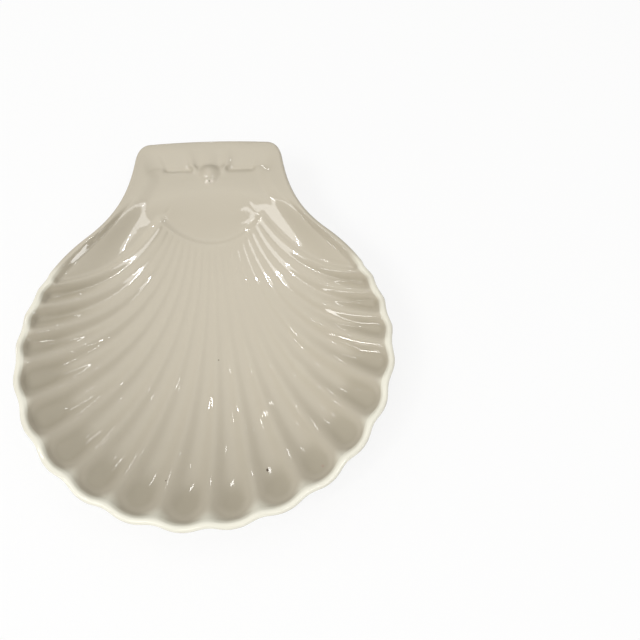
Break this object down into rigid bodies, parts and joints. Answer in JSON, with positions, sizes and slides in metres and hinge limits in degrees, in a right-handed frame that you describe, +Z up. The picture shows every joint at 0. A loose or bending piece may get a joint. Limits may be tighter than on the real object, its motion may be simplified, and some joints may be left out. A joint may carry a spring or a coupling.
{
  "type": "shell trinket dish",
  "caption": "Shallow ceramic dish in the form of a scallop shell, with fine flutes, a scalloped rim and a hinge tab that carries a pearl, on a low foot ring.",
  "frame": {"origin": "middle of the dish's outline seen from above, on the surface that it stands on", "axes": "+Z up out of the bowl, +Y towards the hinge tab, +X to the right with the tab away from the viewer"},
  "size_m": [0.1306, 0.1448, 0.0247],
  "materials": {
    "cream_glaze": "glossy cream glaze, a little paler where it is thin on the rim and the ridges"
  },
  "bodies": {
    "root": {"shell_dish": "cream_glaze"}
  },
  "joints": []
}
